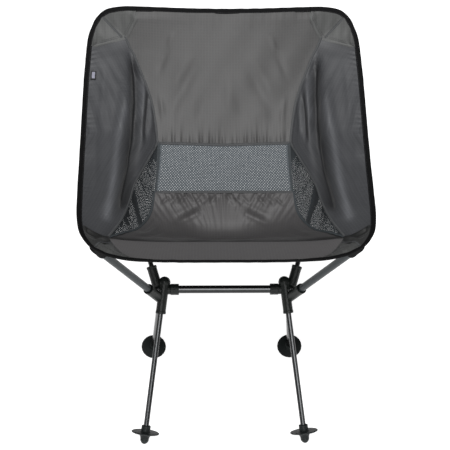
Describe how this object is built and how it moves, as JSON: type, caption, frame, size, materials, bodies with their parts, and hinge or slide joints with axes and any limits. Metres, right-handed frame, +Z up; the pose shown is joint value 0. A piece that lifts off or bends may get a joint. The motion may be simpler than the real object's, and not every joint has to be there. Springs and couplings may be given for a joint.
{
  "type": "backpacking chair",
  "caption": "Low folding backpacking chair: bucket sling of ripstop cloth and netting hung by corner pockets from a shock-corded pole frame with moulded hubs and mud-disc feet.",
  "frame": {"origin": "on the floor, under the middle of the chair's outline", "axes": "+Z up; the sitter faces -Y; +X is the viewer's right when facing the chair's front"},
  "size_m": [0.4964, 0.4362, 0.6992],
  "materials": {
    "anodised_tube": "black anodised, satin",
    "grey_tube": "dark grey anodised, satin",
    "moulded_plastic": "black, fine grain",
    "foot_plastic": "black, slightly rough",
    "ripstop_cloth": "mid-grey ripstop weave",
    "netting": "blue-grey open diamond netting",
    "edge_tape": "black woven tape",
    "label_cloth": "blank woven label",
    "elastic_cord": "braided elastic cord",
    "steel_screw": "plated",
    "ferrule": "plain"
  },
  "bodies": {
    "frame": {"crossbar": "anodised_tube", "shock_cord_crossbar": "elastic_cord", "back_panel": "ripstop_cloth", "lumbar_mesh": "netting", "seat_panel": "ripstop_cloth", "edge_tape_top": "edge_tape", "edge_tape_front": "edge_tape", "loop_label": "label_cloth", "hub_left": "moulded_plastic", "hub_screw_left": "steel_screw", "front_arm_left": "grey_tube", "arm_tip_left": "moulded_plastic", "back_pole_lower_left": "anodised_tube", "back_pole_upper_left": "anodised_tube", "pole_ferrule_left": "ferrule", "pole_tip_left": "moulded_plastic", "shock_cord_back_pole_left": "elastic_cord", "shock_cord_front_leg_left": "elastic_cord", "shock_cord_rear_leg_left": "elastic_cord", "wing_left": "ripstop_cloth", "mesh_gusset_left": "netting", "edge_tape_side_left": "edge_tape", "hub_right": "moulded_plastic", "hub_screw_right": "steel_screw", "front_arm_right": "grey_tube", "arm_tip_right": "moulded_plastic", "back_pole_lower_right": "anodised_tube", "back_pole_upper_right": "anodised_tube", "pole_ferrule_right": "ferrule", "pole_tip_right": "moulded_plastic", "shock_cord_back_pole_right": "elastic_cord", "shock_cord_front_leg_right": "elastic_cord", "shock_cord_rear_leg_right": "elastic_cord", "wing_right": "ripstop_cloth", "mesh_gusset_right": "netting", "edge_tape_side_right": "edge_tape"},
    "front_leg_left": {"front_leg_left": "anodised_tube", "front_foot_left": "foot_plastic"},
    "rear_leg_left": {"rear_leg_left": "anodised_tube", "rear_foot_left": "foot_plastic"},
    "corner_top_left": {"corner_pocket_top_left": "edge_tape", "corner_patch_top_left": "ripstop_cloth", "edge_tape_corner_top_left": "edge_tape"},
    "corner_front_left": {"corner_pocket_front_left": "edge_tape", "corner_patch_front_left": "ripstop_cloth", "edge_tape_corner_front_left": "edge_tape"},
    "front_leg_right": {"front_leg_right": "anodised_tube", "front_foot_right": "foot_plastic"},
    "rear_leg_right": {"rear_leg_right": "anodised_tube", "rear_foot_right": "foot_plastic"},
    "corner_top_right": {"corner_pocket_top_right": "edge_tape", "corner_patch_top_right": "ripstop_cloth", "edge_tape_corner_top_right": "edge_tape"},
    "corner_front_right": {"corner_pocket_front_right": "edge_tape", "corner_patch_front_right": "ripstop_cloth", "edge_tape_corner_front_right": "edge_tape"}
  },
  "joints": [
    {"name": "front_leg_pull_left", "type": "slide", "parent": "frame", "child": "front_leg_left", "axis": [-0.1282, -0.4041, -0.9057], "range_m": [0, 0.03], "stiffness_N_per_m": 200, "springref_m": -0.02},
    {"name": "rear_leg_pull_left", "type": "slide", "parent": "frame", "child": "rear_leg_left", "axis": [-0.0876, 0.6375, -0.7655], "range_m": [0, 0.03], "stiffness_N_per_m": 200, "springref_m": -0.02},
    {"name": "corner_top_pull_off_left", "type": "slide", "parent": "frame", "child": "corner_top_left", "axis": [-0.0889, 0.5043, 0.8589], "range_m": [0, 0.03], "stiffness_N_per_m": 800, "springref_m": -0.01},
    {"name": "corner_front_pull_off_left", "type": "slide", "parent": "frame", "child": "corner_front_left", "axis": [-0.3578, -0.637, 0.6828], "range_m": [0, 0.03], "stiffness_N_per_m": 800, "springref_m": -0.01},
    {"name": "front_leg_pull_right", "type": "slide", "parent": "frame", "child": "front_leg_right", "axis": [0.1282, -0.4041, -0.9057], "range_m": [0, 0.03], "stiffness_N_per_m": 200, "springref_m": -0.02},
    {"name": "rear_leg_pull_right", "type": "slide", "parent": "frame", "child": "rear_leg_right", "axis": [0.0876, 0.6375, -0.7655], "range_m": [0, 0.03], "stiffness_N_per_m": 200, "springref_m": -0.02},
    {"name": "corner_top_pull_off_right", "type": "slide", "parent": "frame", "child": "corner_top_right", "axis": [0.0889, 0.5043, 0.8589], "range_m": [0, 0.03], "stiffness_N_per_m": 800, "springref_m": -0.01},
    {"name": "corner_front_pull_off_right", "type": "slide", "parent": "frame", "child": "corner_front_right", "axis": [0.3578, -0.637, 0.6828], "range_m": [0, 0.03], "stiffness_N_per_m": 800, "springref_m": -0.01}
  ]
}
